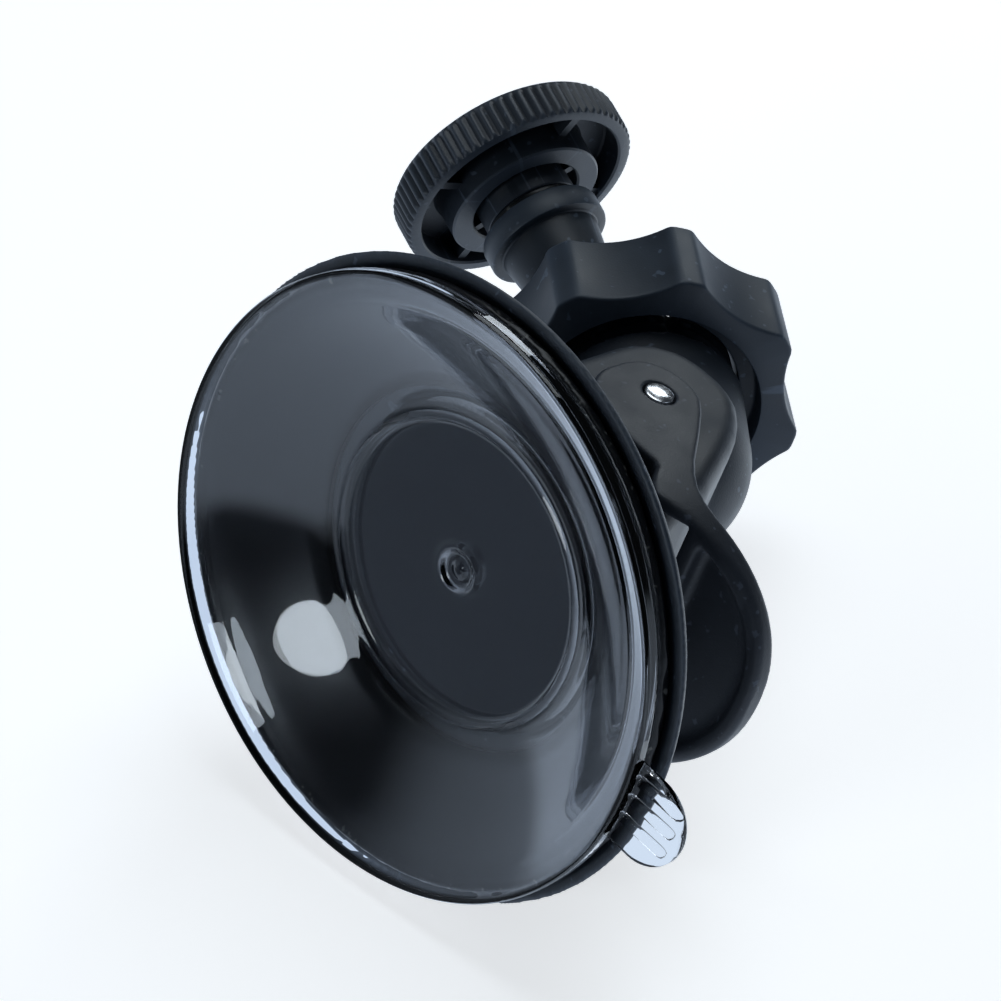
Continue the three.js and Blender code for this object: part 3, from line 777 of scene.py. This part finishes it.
def make_stud():
    """The ball stud: ball, waisted neck and collar, with the screw's bore in its end."""
    profile = [(0.02, -BALL_RADIUS)]
    for turn in np.radians(np.linspace(-87, 60, 40)):
        profile.append((BALL_RADIUS * math.cos(turn), BALL_RADIUS * math.sin(turn)))
    profile += [(3.95, 7.2), (3.95, 7.8), (4.05, 9), (4.45, 15), (5.3, 20.25), (5.35, 20.6)]
    profile += [(5.5, 20.72), (6.2, 20.75), (6.42, 20.83), (6.5, 21.05), (6.5, 23.0)]
    profile += [(6.38, 23.28), (6.1, 23.4), (3.5, 23.4), (3.45, 23.3), (3.45, 13.2), (0.02, 13.0)]
    return turned_object("stud_body", profile, 96, STUD, stud_frame)


def make_pin():
    """The cross pin, a plain rod with chamfered ends."""
    end = LEVER_HALF_WIDTH - 0.15
    side = [(0.02, -end), (1.25, -end), (1.42, -end + 0.08), (PIN_RADIUS, -end + 0.25)]
    profile = side + [(radius, -height) for radius, height in reversed(side)]
    placed = Matrix.Translation((0, 0, PIN_HEIGHT)) @ Matrix.Rotation(math.pi / 2, 4, "Y")
    return turned_object("cross_pin", profile, 64, STEEL, placed)


def make_screw():
    """The camera screw: one skin whose radius follows the thread."""
    around, per_turn = 48, 12
    low, top = 25.0, 36.3
    shank, root = 2.95, 2.6
    rows = int((top - low) / SCREW_PITCH * per_turn)
    turn = 2 * math.pi * np.arange(around) / around
    circle = np.c_[np.cos(turn), np.sin(turn)]
    loops = [np.c_[shank * circle, np.full(around, 13.4)]]
    for row in range(rows + 1):
        height = low + row * SCREW_PITCH / per_turn
        run_out = min(1, row / per_turn, (rows - row) / per_turn)
        phase = (height / SCREW_PITCH - turn / (2 * math.pi)) % 1
        crest = np.clip(1.25 - 2.5 * np.abs(phase - 0.5), 0, 1)
        radius = root + (SCREW_RADIUS - root) * crest * run_out
        loops.append(np.c_[radius[:, None] * circle, np.full(around, height)])
    vertices, faces = capped_skin(loops)
    return mesh_object("screw_thread", vertices, faces, STEEL, 40, stud_frame)


def box_tool(boxes):
    """One mesh of separate boxes: (length, width, height, x, z, turn) each, in the stud's frame."""
    vertices, faces = [], []
    for length, width, height, x, z, turn in boxes:
        base = len(vertices)
        for dx, dy, dz in [(i, j, k) for k in (-1, 1) for j in (-1, 1) for i in (-1, 1)]:
            px, py = x + dx * length / 2, dy * width / 2
            c, s = math.cos(turn), math.sin(turn)
            vertices.append((px * c - py * s, px * s + py * c, z + dz * height / 2))
        sides = [(0, 2, 3, 1), (4, 5, 7, 6), (0, 1, 5, 4), (2, 6, 7, 3), (0, 4, 6, 2), (1, 3, 7, 5)]
        faces += [tuple(base + corner for corner in side) for side in sides]
    return mesh_object("box_tool", vertices, faces, WHEEL, None, stud_frame)


def make_wheel():
    """The thumb wheel: knurled rim, hub with a recess, and ribs between them."""
    per_tooth = 8
    smooth_angle = 38
    around = WHEEL_TEETH * per_tooth
    turn = 2 * math.pi * np.arange(around) / around
    circle = np.c_[np.cos(turn), np.sin(turn)]
    share = (np.arange(around) % per_tooth) / per_tooth
    cut = 0.34 * np.clip(1 - np.abs(share - 0.5) / 0.4, 0, 1) ** 0.8
    outside = [(12.3, WHEEL_RIM), (12.55, 27.68), (12.78, 27.95), (WHEEL_RADIUS, 28.25)]
    outside += [(WHEEL_RADIUS, 31.3), (12.75, 31.65), (12.4, 32.0), (12.05, WHEEL_TOP)]
    loops = []
    for radius, height in outside:
        toothed = np.minimum(radius, WHEEL_RADIUS - cut)
        loops.append(np.c_[toothed[:, None] * circle, np.full(around, height)])
    inside = [
        (11.8, WHEEL_TOP), (4.45, WHEEL_TOP), (4.3, 32.05), (4.3, 24.85), (4.4, 24.7), (5.0, 24.7),
        (5.1, 24.8), (5.1, 28.65), (5.2, 28.8), (5.85, 28.8), (5.95, 28.65), (5.95, 26.6),
        (6.15, 26.4), (8.15, 26.4), (8.35, 26.6), (8.35, 30.6), (8.55, 30.8), (11.05, 30.8),
        (11.25, 30.6), (11.3, 27.8), (11.5, WHEEL_RIM),
    ]
    for radius, height in inside:
        loops.append(np.c_[radius * circle, np.full(around, height)])
    vertices, faces = ring_grid(loops, closed_profile=True)
    wheel = mesh_object("knurled_wheel", vertices, faces, WHEEL, smooth_angle, stud_frame)
    boxes = []
    for rib in range(4):
        boxes.append((3.5, 1.0, 3.1, 9.8, 29.75, math.radians(75 + 90 * rib)))
        boxes.append((1.2, 0.9, 2.2, 5.52, 28.0, math.radians(17 + 90 * rib)))
    boolean(wheel, box_tool(boxes), "UNION")
    wheel.data.shade_smooth()
    wheel.data.set_sharp_from_angle(angle=math.radians(smooth_angle))
    return wheel


riders = [
    (make_backing, "cup_backing", "base", "black_rubber"),
    (make_housing, "base_housing", "base", "housing_plastic"),
    (make_lever, "cam_lever", "lever", "lever_plastic"),
    (make_nut, "clamp_nut", "nut", "nut_plastic"),
    (make_stud, "ball_stud", "stud", "stud_plastic"),
    (make_pin, "pivot_pin", "plunger", "steel"),
    (make_screw, "camera_screw", "stud", "steel"),
    (make_wheel, "thumb_wheel", "wheel", "wheel_plastic"),
]
for make, node, body, slot in riders:
    piece = make()
    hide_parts(node)
    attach(piece, body)


# ---- Stage, lights and camera ----


def stage_plane(name, size, place, normal, shade, glow):
    """A one-sided plane that only the camera sees, so that it lights and hides nothing."""
    corners = [(-size, -size, 0), (size, -size, 0), (size, size, 0), (-size, size, 0)]
    n = Nodes(name)
    n.tree.nodes.remove(n.shader)
    lit = n.add("ShaderNodeBsdfDiffuse", {"Color": (shade, shade, shade, 1)}).outputs[0]
    glowing = n.add("ShaderNodeEmission", {"Color": (0.97, 0.985, 1, 1), "Strength": glow}).outputs[0]
    surface = n.add("ShaderNodeAddShader", {0: lit, 1: glowing}).outputs[0]
    clear = n.add("ShaderNodeBsdfTransparent").outputs[0]
    back = n.add("ShaderNodeNewGeometry").outputs["Backfacing"]
    mix = n.add("ShaderNodeMixShader", {"Fac": back, 1: surface, 2: clear})
    n.tree.links.new(mix.outputs[0], n.tree.nodes["Material Output"].inputs["Surface"])
    plane = mesh_object(name, corners, [(0, 1, 2, 3)], n.material)
    plane.rotation_mode = "QUATERNION"
    plane.rotation_quaternion = Vector((0, 0, 1)).rotation_difference(Vector(normal))
    plane.location = Vector(place) * MM
    plane.visible_diffuse = False
    plane.visible_glossy = False
    plane.visible_transmission = False
    plane.visible_shadow = False


TABLE_NORMAL = Vector((-0.95, 0.19, -0.26)).normalized()


def reach_against(normal):
    """How far the object reaches against a direction, in millimetres."""
    depths = []
    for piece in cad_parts.values():
        depths += [vertex.co.dot(normal) for vertex in piece.data.vertices]
    return min(depths) / MM


table_depth = reach_against(TABLE_NORMAL)
stage_plane("table", 400, TABLE_NORMAL * (table_depth - 0.1), TABLE_NORMAL, 0.9, 0.66)
stage_plane("floor", 900, (0, 0, -0.05), (0, 0, 1), 0.9, 0.54)


SOFTBOX_COLOUR = (0.84, 0.93, 1.0)


def area_light(name, towards, distance, size, radiance, turn=0.0):
    """A softbox in a direction from the object, of a given surface brightness."""
    light = bpy.data.lights.new(name, "AREA")
    light.shape = "ELLIPSE" if name.startswith("round") else "RECTANGLE"
    light.size, light.size_y = size[0] * MM, size[1] * MM
    light.energy = radiance * math.pi * size[0] * size[1] * MM * MM
    light.color = SOFTBOX_COLOUR
    lamp = bpy.data.objects.new(name, light)
    direction = Vector(towards).normalized()
    lamp.location = direction * distance * MM + Vector((0, 0, 15 * MM))
    lamp.rotation_mode = "QUATERNION"
    aim = (-direction).to_track_quat("-Z", "Y")
    lamp.rotation_quaternion = aim @ Matrix.Rotation(turn, 3, "Z").to_quaternion()
    bpy.context.collection.objects.link(lamp)


# The camera's place in mm, its right and up directions, and its lens on a 36 mm sensor.
CAMERA_PLACE = Vector((-218.88, -162.03, -244.98))
CAMERA_RIGHT = Vector((-0.31507, -0.66112, 0.68092))
CAMERA_UP = Vector((-0.75690, 0.60788, 0.23997))
CAMERA_LENS = 143.86


def make_world():
    """Surroundings by direction, and plain white where seen straight on or through clear plastic.

    They are pale on the table's side and dim on the room's, with one dark card and one soft glow.
    """
    world = bpy.data.worlds.new("studio")
    bpy.context.scene.world = world
    world.use_nodes = True
    nodes, links = world.node_tree.nodes, world.node_tree.links
    direction = nodes.new("ShaderNodeTexCoord").outputs["Generated"]

    def lobe(centre, ends, values):
        towards = nodes.new("ShaderNodeVectorMath")
        towards.operation = "DOT_PRODUCT"
        towards.inputs[1].default_value = Vector(centre).normalized()
        links.new(direction, towards.inputs[0])
        fade = nodes.new("ShaderNodeMapRange")
        fade.interpolation_type = "SMOOTHSTEP"
        links.new(towards.outputs["Value"], fade.inputs["Value"])
        for socket, value in zip(("From Min", "From Max", "To Min", "To Max"), (*ends, *values)):
            fade.inputs[socket].default_value = value
        return fade.outputs["Result"]

    def combine(operation, a, b):
        node = nodes.new("ShaderNodeMath")
        node.operation = operation
        links.new(a, node.inputs[0])
        links.new(b, node.inputs[1])
        node.inputs[2].default_value = 0.5
        return node.outputs[0]

    table_side = lobe(-TABLE_NORMAL, (0.02, 0.14), (0.035, 0.85))
    dark_card = lobe((0.573, 0.44, -0.692), (0.92, 0.97), (1.0, 0.25))
    glow = lobe((0.1, 0.9, -0.42), (0.74, 0.99), (0.0, 0.55))
    background = nodes["Background"]
    background.inputs["Color"].default_value = (0.74, 0.87, 1.05, 1)
    strength = combine("ADD", combine("MULTIPLY", table_side, dark_card), glow)
    links.new(strength, background.inputs["Strength"])
    seen = nodes.new("ShaderNodeBackground")
    seen.inputs["Color"].default_value = (0.95, 0.965, 0.98, 1)
    seen.inputs["Strength"].default_value = 1.0
    path = nodes.new("ShaderNodeLightPath").outputs
    mix = nodes.new("ShaderNodeMixShader")
    links.new(combine("COMPARE", path["Ray Depth"], path["Transmission Depth"]), mix.inputs[0])
    links.new(background.outputs[0], mix.inputs[1])
    links.new(seen.outputs[0], mix.inputs[2])
    links.new(mix.outputs[0], nodes["World Output"].inputs["Surface"])


make_world()
area_light("round_softbox", (-0.07, 0.01, -0.99), 450, (165, 125), 5.0, turn=0.6)
area_light("overhead", TABLE_NORMAL + Vector((0, 0.15, 0.3)), 500, (330, 330), 2.3)
area_light("rear_softbox", (-0.57, 0.44, 0.69), 500, (150, 150), 5.0)
area_light("back_light", (0.35, -0.2, 0.9), 600, (500, 500), 1.1)


def make_camera():
    """The main camera."""
    data = bpy.data.cameras.new("camera")
    data.lens = CAMERA_LENS
    data.sensor_width = 36.0
    data.clip_start = 0.01
    data.clip_end = 20
    back = CAMERA_RIGHT.cross(CAMERA_UP)
    columns = [*CAMERA_RIGHT.normalized(), *CAMERA_UP.normalized(), *back.normalized()]
    turned = Matrix((columns[0:3], columns[3:6], columns[6:9])).transposed()
    camera = bpy.data.objects.new("camera", data)
    camera.matrix_world = Matrix.Translation(CAMERA_PLACE * MM) @ turned.to_4x4()
    bpy.context.collection.objects.link(camera)
    bpy.context.scene.camera = camera


make_camera()
bpy.context.scene.view_settings.view_transform = "Standard"
